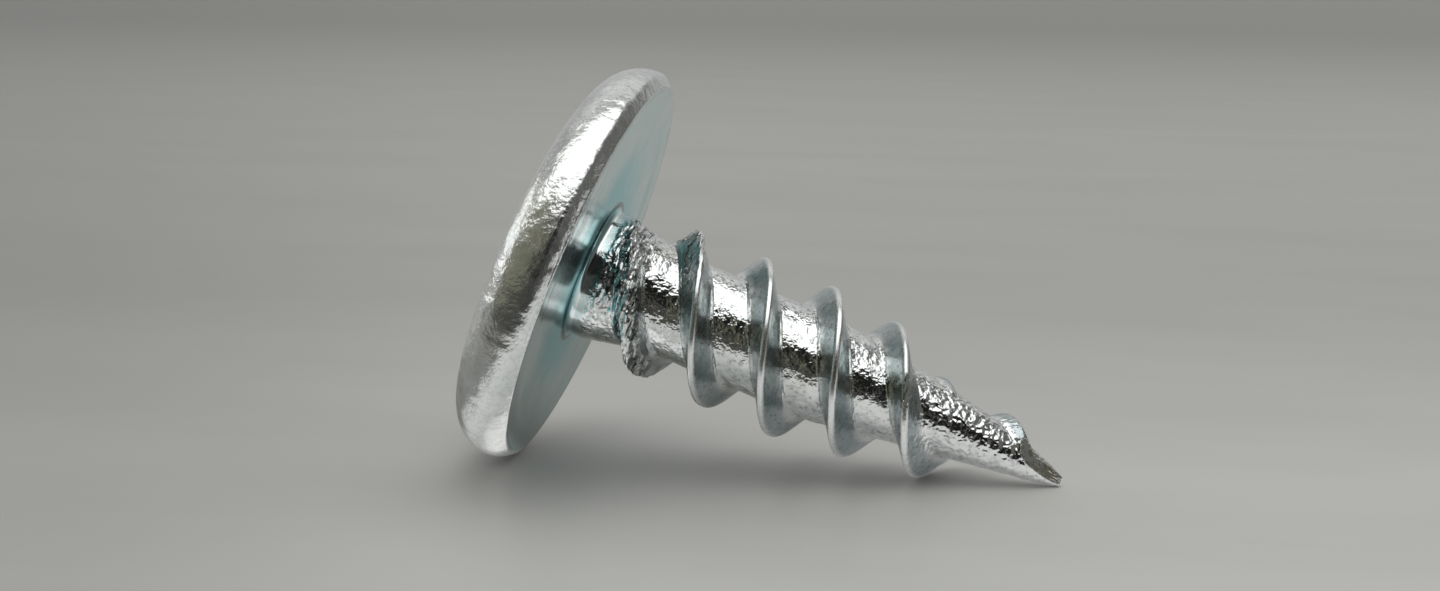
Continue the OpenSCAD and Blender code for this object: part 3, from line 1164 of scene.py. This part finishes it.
@dataclass(frozen=True)
class Table:
    """The plain table, painted paler in front and darker on the left as light falls off, with painted light
    and shade in the tones that the metal mirrors.

    Depth is how far a point lies towards the camera's side, and across how far to the camera's right,
    both in mm along the table.

    Attributes:
        view: the camera's place, which the tones are set out from.
        half_width: half the table's side in metres.
        front, middle, back: the table before, behind and well behind the screw, painted darker towards the
            back as light falls off.
        to_middle, to_back: depths between which one takes over from the other.
        left_dim, left_slope, left_depth: how much painted shade darkens the table on the left, and the
            slopes from the
        camera's foot and the depths between which it does.
        least_away: least distance from the camera's foot that a slope is measured at.
        clouds, cloudy, scuffs, scuffed: scale per metre and strength of its clouds and of its scuffs.
        lit, shaded, hidden, beyond, left: the table in the metal, in painted light and shade: a painted pool
            of
        light close to the screw, painted dark farther in front, painted shadow just behind the screw, a
        plain tone well behind it, and a dimmer tone on the left.
        to_lit, lit_across, to_shaded, shadow_behind_depth, to_beyond: depths, and distances across, between
        which
            these take over.
        glint_depth, glint_across: the patch of the mirrored table that holds a painted glint beside the
            head.
        painted_glow, glint_glow: share of these tones that glows as painted light, needing no lamp, all over
            and in that patch.
        roughness, gloss: of the table's surface.
    """

    view: Viewpoint
    half_width: float = 3.0
    front: tuple = (0.54, 0.537, 0.517, 1.0)
    middle: tuple = (0.365, 0.363, 0.346, 1.0)
    back: tuple = (0.18, 0.178, 0.166, 1.0)
    to_middle: tuple = (15.0, -30.0)
    to_back: tuple = (-50.0, -300.0)
    left_dim: float = 0.26
    left_slope: tuple = (-0.05, -0.4)
    left_depth: tuple = (40.0, 15.0)
    least_away: float = 10.0
    clouds: tuple = (40.0, 120.0, 1.0)
    cloudy: float = 0.12
    scuffs: tuple = (60.0, 60.0, 60.0)
    scuffed: float = 0.04
    lit: tuple = (0.9, 0.9, 0.89, 1.0)
    shaded: tuple = (0.05, 0.05, 0.045, 1.0)
    shadow_behind: tuple = (0.22, 0.225, 0.21, 1.0)
    beyond: tuple = (0.42, 0.425, 0.41, 1.0)
    left: tuple = (0.28, 0.28, 0.27, 1.0)
    to_lit: tuple = (-2.0, 1.0)
    lit_across: tuple = (-11.2, -8.8)
    to_shaded: tuple = (7.5, 10.5)
    shadow_behind_depth: tuple = (-22.0, -10.0, -2.0, 0.5)
    to_beyond: tuple = (-8.0, -20.0)
    glint_depth: tuple = (0.2, 0.9, 2.0, 3.0)
    glint_across: tuple = (-7.8, -6.8, -4.0, -3.0)
    painted_glow: float = 0.12
    glint_glow: float = 0.85
    roughness: float = 0.42
    gloss: float = 0.3

    def colour(self, wires: Wiring, place: Socket, scuffs: bpy.types.NodeTree) -> Socket:
        """The table as it is seen and lit: three tones and a darker left, painted falloff of light, with
        clouds and scuffs.

        Args:
            wires: the material's nodes.
            place: coordinates in metres.
            scuffs: the group of fine scuffs.

        Returns:
            The colour.
        """
        mm = wires.scaled(place, (1 / MM,) * 3)
        depth = self.view.depth(wires, mm)
        # Painted falloff of light: the table paler in front and darker well behind the screw.
        colour = wires.mix(wires.ramp(depth, *self.to_middle), self.front, self.middle)
        colour = wires.mix(wires.ramp(depth, *self.to_back), colour, self.back)
        # Painted shade: the table darker towards the left, as light falls off there.
        away = wires.math("MAXIMUM", wires.math("SUBTRACT", self.view.distance, depth), self.least_away)
        slope = wires.math("DIVIDE", self.view.across(wires, mm), away)
        dimmed = wires.ramp(slope, *self.left_slope, (0.0, self.left_dim))
        dimmed = wires.math("MULTIPLY", dimmed, wires.ramp(depth, *self.left_depth))
        colour = wires.mix(dimmed, colour, BLACK)
        clouds = wires.ramp(wires.noise(wires.scaled(place, self.clouds), 1.0, 3.0), 0.3, 0.7)
        scuffed = wires.node("ShaderNodeGroup", {0: wires.scaled(place, self.scuffs)}, node_tree=scuffs)
        dulled = wires.total((clouds, self.cloudy), (scuffed.outputs[0], self.scuffed))
        return wires.mix(dulled, colour, self.back)

    def in_metal(self, wires: Wiring, place: Socket) -> tuple[Socket, Socket]:
        """The table as the metal mirrors it, with painted light and shade, and a painted glint beside the
        head.

        Args:
            wires: the material's nodes.
            place: coordinates in metres.

        Returns:
            The colour, and the share of it that glows as painted light.
        """
        mm = wires.scaled(place, (1 / MM,) * 3)
        depth = self.view.depth(wires, mm)
        across = self.view.across(wires, mm)
        colour = wires.mix(wires.ramp(depth, *self.to_beyond), self.left, self.beyond)
        # Painted shadow on the mirrored table just behind the screw.
        colour = wires.mix(wires.band(depth, self.shadow_behind_depth), colour, self.shadow_behind)
        # Painted light: the mirrored table bright close to the screw.
        near = wires.math("MULTIPLY", wires.ramp(depth, *self.to_lit), wires.ramp(across, *self.lit_across))
        colour = wires.mix(near, colour, self.lit)
        # Painted shade: the mirrored table dark farther in front.
        colour = wires.mix(wires.ramp(depth, *self.to_shaded), colour, self.shaded)
        # Painted glint: a glowing patch of the mirrored table beside the head.
        glint = (wires.band(depth, self.glint_depth), wires.band(across, self.glint_across))
        return colour, wires.total((*glint, self.glint_glow), (self.painted_glow, ))

    def material(self, scuffs: bpy.types.NodeTree) -> bpy.types.Material:
        """The table's material: one look for the eye and for light, and one for the metal.

        Args:
            scuffs: the group of fine scuffs.

        Returns:
            The material.
        """
        material = bpy.data.materials.new("table_top")
        material.use_nodes = True
        wires = Wiring(material.node_tree)
        place = wires.node("ShaderNodeTexCoord").outputs["Object"]
        mirrored = wires.node("ShaderNodeLightPath").outputs["Is Glossy Ray"]
        tone, painted_glow = self.in_metal(wires, place)
        surface = wires.node("ShaderNodeBsdfPrincipled", {
            "Base Color": wires.mix(mirrored, self.colour(wires, place, scuffs), tone),
            "Roughness": self.roughness,
            "Specular IOR Level": self.gloss,
        })
        # Painted light: the mirrored table glows by that share.
        bright = wires.node("ShaderNodeEmission", {"Color": tone, "Strength": 1.0})
        both = wires.node("ShaderNodeMixShader", {
            0: wires.math("MULTIPLY", mirrored, painted_glow), 1: surface.outputs[0], 2: bright.outputs[0]})
        wires.node("ShaderNodeOutputMaterial", {"Surface": both.outputs[0]})
        return material

    def build(self, scuffs: bpy.types.NodeTree) -> bpy.types.Object:
        """Make the table, one flat face.

        Args:
            scuffs: the group of fine scuffs.

        Returns:
            The table's object.
        """
        side = self.half_width
        mesh = bpy.data.meshes.new("table")
        corners = [(-side, -side, 0), (side, -side, 0), (side, side, 0), (-side, side, 0)]
        mesh.from_pydata(corners, [], [(0, 1, 2, 3)])
        mesh.materials.append(self.material(scuffs))
        table = bpy.data.objects.new("table", mesh)
        bpy.context.scene.collection.objects.link(table)
        return table


@dataclass(frozen=True)
class Room:
    """The plain room: a bright ceiling from above the camera to just behind the screw, and dim walls.

    A direction's climb is its angle over the top in degrees, from 0 at the horizon on the camera's side to
    180 at the horizon behind the screw. Its height and across are the parts of it that point upwards and
    to the camera's right.

    Attributes:
        view: the camera's place, which the room is set out from.
        olive, dark, side: radiance of the room behind the camera, from left to right.
        to_dark, to_side: parts across between which one takes over from the other.
        wall, upper_wall, corner: radiance of the room behind the screw, low, high and in its left corner.
        behind_climb, behind_across, to_upper, from_corner: climbs and parts across where these lie.
        strip, strip_height, strip_across, strip_climb: a low window on the left, and where it lies.
        sky, sky_from, sky_to, sky_across: the soft light overhead, and where it lies.
        sky_left, sky_lift: the parts across over which its near edge climbs on the left, and how far.
        fill, glow, lamp: what the room gives to the table, from the camera's side, from behind the screw
            and from the soft lamp over it.
        to_glow, lamp_climb, lamp_across: where these lie.
        low_climb, low_fill, left_across, left_fill: where the glow falls back to the fill, low behind the
            screw and on the left, and by what share.
    """

    view: Viewpoint
    olive: tuple = (0.2, 0.197, 0.15, 1.0)
    dark: tuple = (0.012, 0.012, 0.011, 1.0)
    side: tuple = (0.13, 0.13, 0.122, 1.0)
    to_dark: tuple = (-0.7, 0.1)
    to_side: tuple = (0.4, 0.65)
    wall: tuple = (0.5, 0.505, 0.5, 1.0)
    upper_wall: tuple = (0.8, 0.805, 0.8, 1.0)
    corner: tuple = (0.3, 0.3, 0.295, 1.0)
    behind_climb: tuple = (117.0, 125.0)
    behind_across: tuple = (0.85, 0.4)
    to_upper: tuple = (155.0, 125.0)
    from_corner: tuple = (-0.7, -0.3)
    strip: tuple = (1.3, 1.3, 1.28, 1.0)
    strip_height: tuple = (0.1, 0.16, 0.42, 0.5)
    strip_across: tuple = (-0.62, -0.72)
    strip_climb: tuple = (105.0, 115.0)
    sky: tuple = (1.6, 1.61, 1.6, 1.0)
    sky_from: tuple = (38.0, 45.0)
    sky_to: tuple = (112.0, 107.0)
    sky_across: tuple = (-0.86, -0.7, 0.4, 0.7)
    sky_left: tuple = (-0.15, -0.65)
    sky_lift: float = 30.0
    fill: tuple = (0.18, 0.18, 0.178, 1.0)
    glow: tuple = (1.1, 1.1, 1.085, 1.0)
    lamp: tuple = (2.1, 2.1, 2.07, 1.0)
    to_glow: tuple = (35.0, 85.0)
    lamp_climb: tuple = (75.0, 90.0, 110.0, 125.0)
    lamp_across: tuple = (-0.4, -0.1, 0.3, 0.6)
    low_climb: tuple = (150.0, 175.0)
    low_fill: float = 0.6
    left_across: tuple = (0.6, -0.9)
    left_fill: float = 0.4

    def in_metal(self, wires: Wiring, climb: Socket, across: Socket, height: Socket) -> Socket:
        """The room as the metal mirrors it.

        Args:
            wires: the world's nodes.
            climb: degrees over the top.
            across: the part to the camera's right.
            height: the part upwards.

        Returns:
            The radiance.
        """
        radiance = wires.mix(wires.ramp(across, *self.to_dark), self.olive, self.dark)
        radiance = wires.mix(wires.ramp(across, *self.to_side), radiance, self.side)
        wall = wires.mix(wires.ramp(climb, *self.to_upper), self.wall, self.upper_wall)
        wall = wires.mix(wires.ramp(across, *self.from_corner), self.corner, wall)
        behind = (wires.ramp(climb, *self.behind_climb), wires.ramp(across, *self.behind_across))
        radiance = wires.mix(wires.total(behind), radiance, wall)
        strip = (wires.ramp(across, *self.strip_across), wires.ramp(climb, *self.strip_climb))
        window = wires.total((wires.band(height, self.strip_height), *strip))
        radiance = wires.mix(window, radiance, self.strip)
        lifted = wires.ramp(across, *self.sky_left, (0.0, self.sky_lift))
        near_edge = wires.ramp(wires.math("SUBTRACT", climb, lifted), *self.sky_from)
        far_edge = wires.ramp(climb, *self.sky_to)
        overhead = wires.total((near_edge, far_edge, wires.band(across, self.sky_across)))
        return wires.mix(overhead, radiance, self.sky)

    def on_table(self, wires: Wiring, climb: Socket, across: Socket) -> Socket:
        """The room as it lights the table.

        Args:
            wires: the world's nodes.
            climb: degrees over the top.
            across: the part to the camera's right.

        Returns:
            The radiance.
        """
        soft = wires.mix(wires.ramp(climb, *self.to_glow), self.fill, self.glow)
        soft = wires.mix(wires.ramp(climb, *self.low_climb, (0.0, self.low_fill)), soft, self.fill)
        soft = wires.mix(wires.ramp(across, *self.left_across, (0.0, self.left_fill)), soft, self.fill)
        patch = (wires.band(climb, self.lamp_climb), wires.band(across, self.lamp_across))
        return wires.mix(wires.total(patch), soft, self.lamp)

    def build(self) -> bpy.types.World:
        """Make the world that lights the scene.

        Returns:
            The world.
        """
        world = bpy.data.worlds.new("soft_room")
        world.use_nodes = True
        wires = Wiring(world.node_tree)
        way = wires.node("ShaderNodeTexCoord").outputs["Generated"]
        height = wires.node("ShaderNodeSeparateXYZ", {0: way}).outputs["Z"]
        across = self.view.across(wires, way)
        climb = wires.math("DEGREES", wires.math("ARCTAN2", height, self.view.depth(wires, way)))
        mirrored = wires.node("ShaderNodeLightPath").outputs["Is Glossy Ray"]
        seen = self.in_metal(wires, climb, across, height)
        radiance = wires.mix(mirrored, self.on_table(wires, climb, across), seen)
        background = wires.node("ShaderNodeBackground", {"Color": radiance, "Strength": 1.0})
        wires.node("ShaderNodeOutputWorld", {"Surface": background.outputs[0]})
        bpy.context.scene.world = world
        return world


def main() -> None:
    """Load the frame, build the screw, the table and the room."""
    logging.basicConfig(level=logging.INFO, format="%(name)s: %(message)s")
    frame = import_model()
    bpy.context.scene.view_settings.view_transform = "Standard"
    view = Viewpoint()
    LOG.info("camera %s", view.build().name)
    scuffs = fine_scuffs()
    screw = PlatedScrew().build(frame["record"], ZincPlate().material(scuffs))
    LOG.info("piece %s with %d triangles", screw.name, len(screw.data.polygons))
    LOG.info("stage %s under %s", Table(view).build(scuffs).name, Room(view).build().name)


if __name__ == "__main__":
    main()
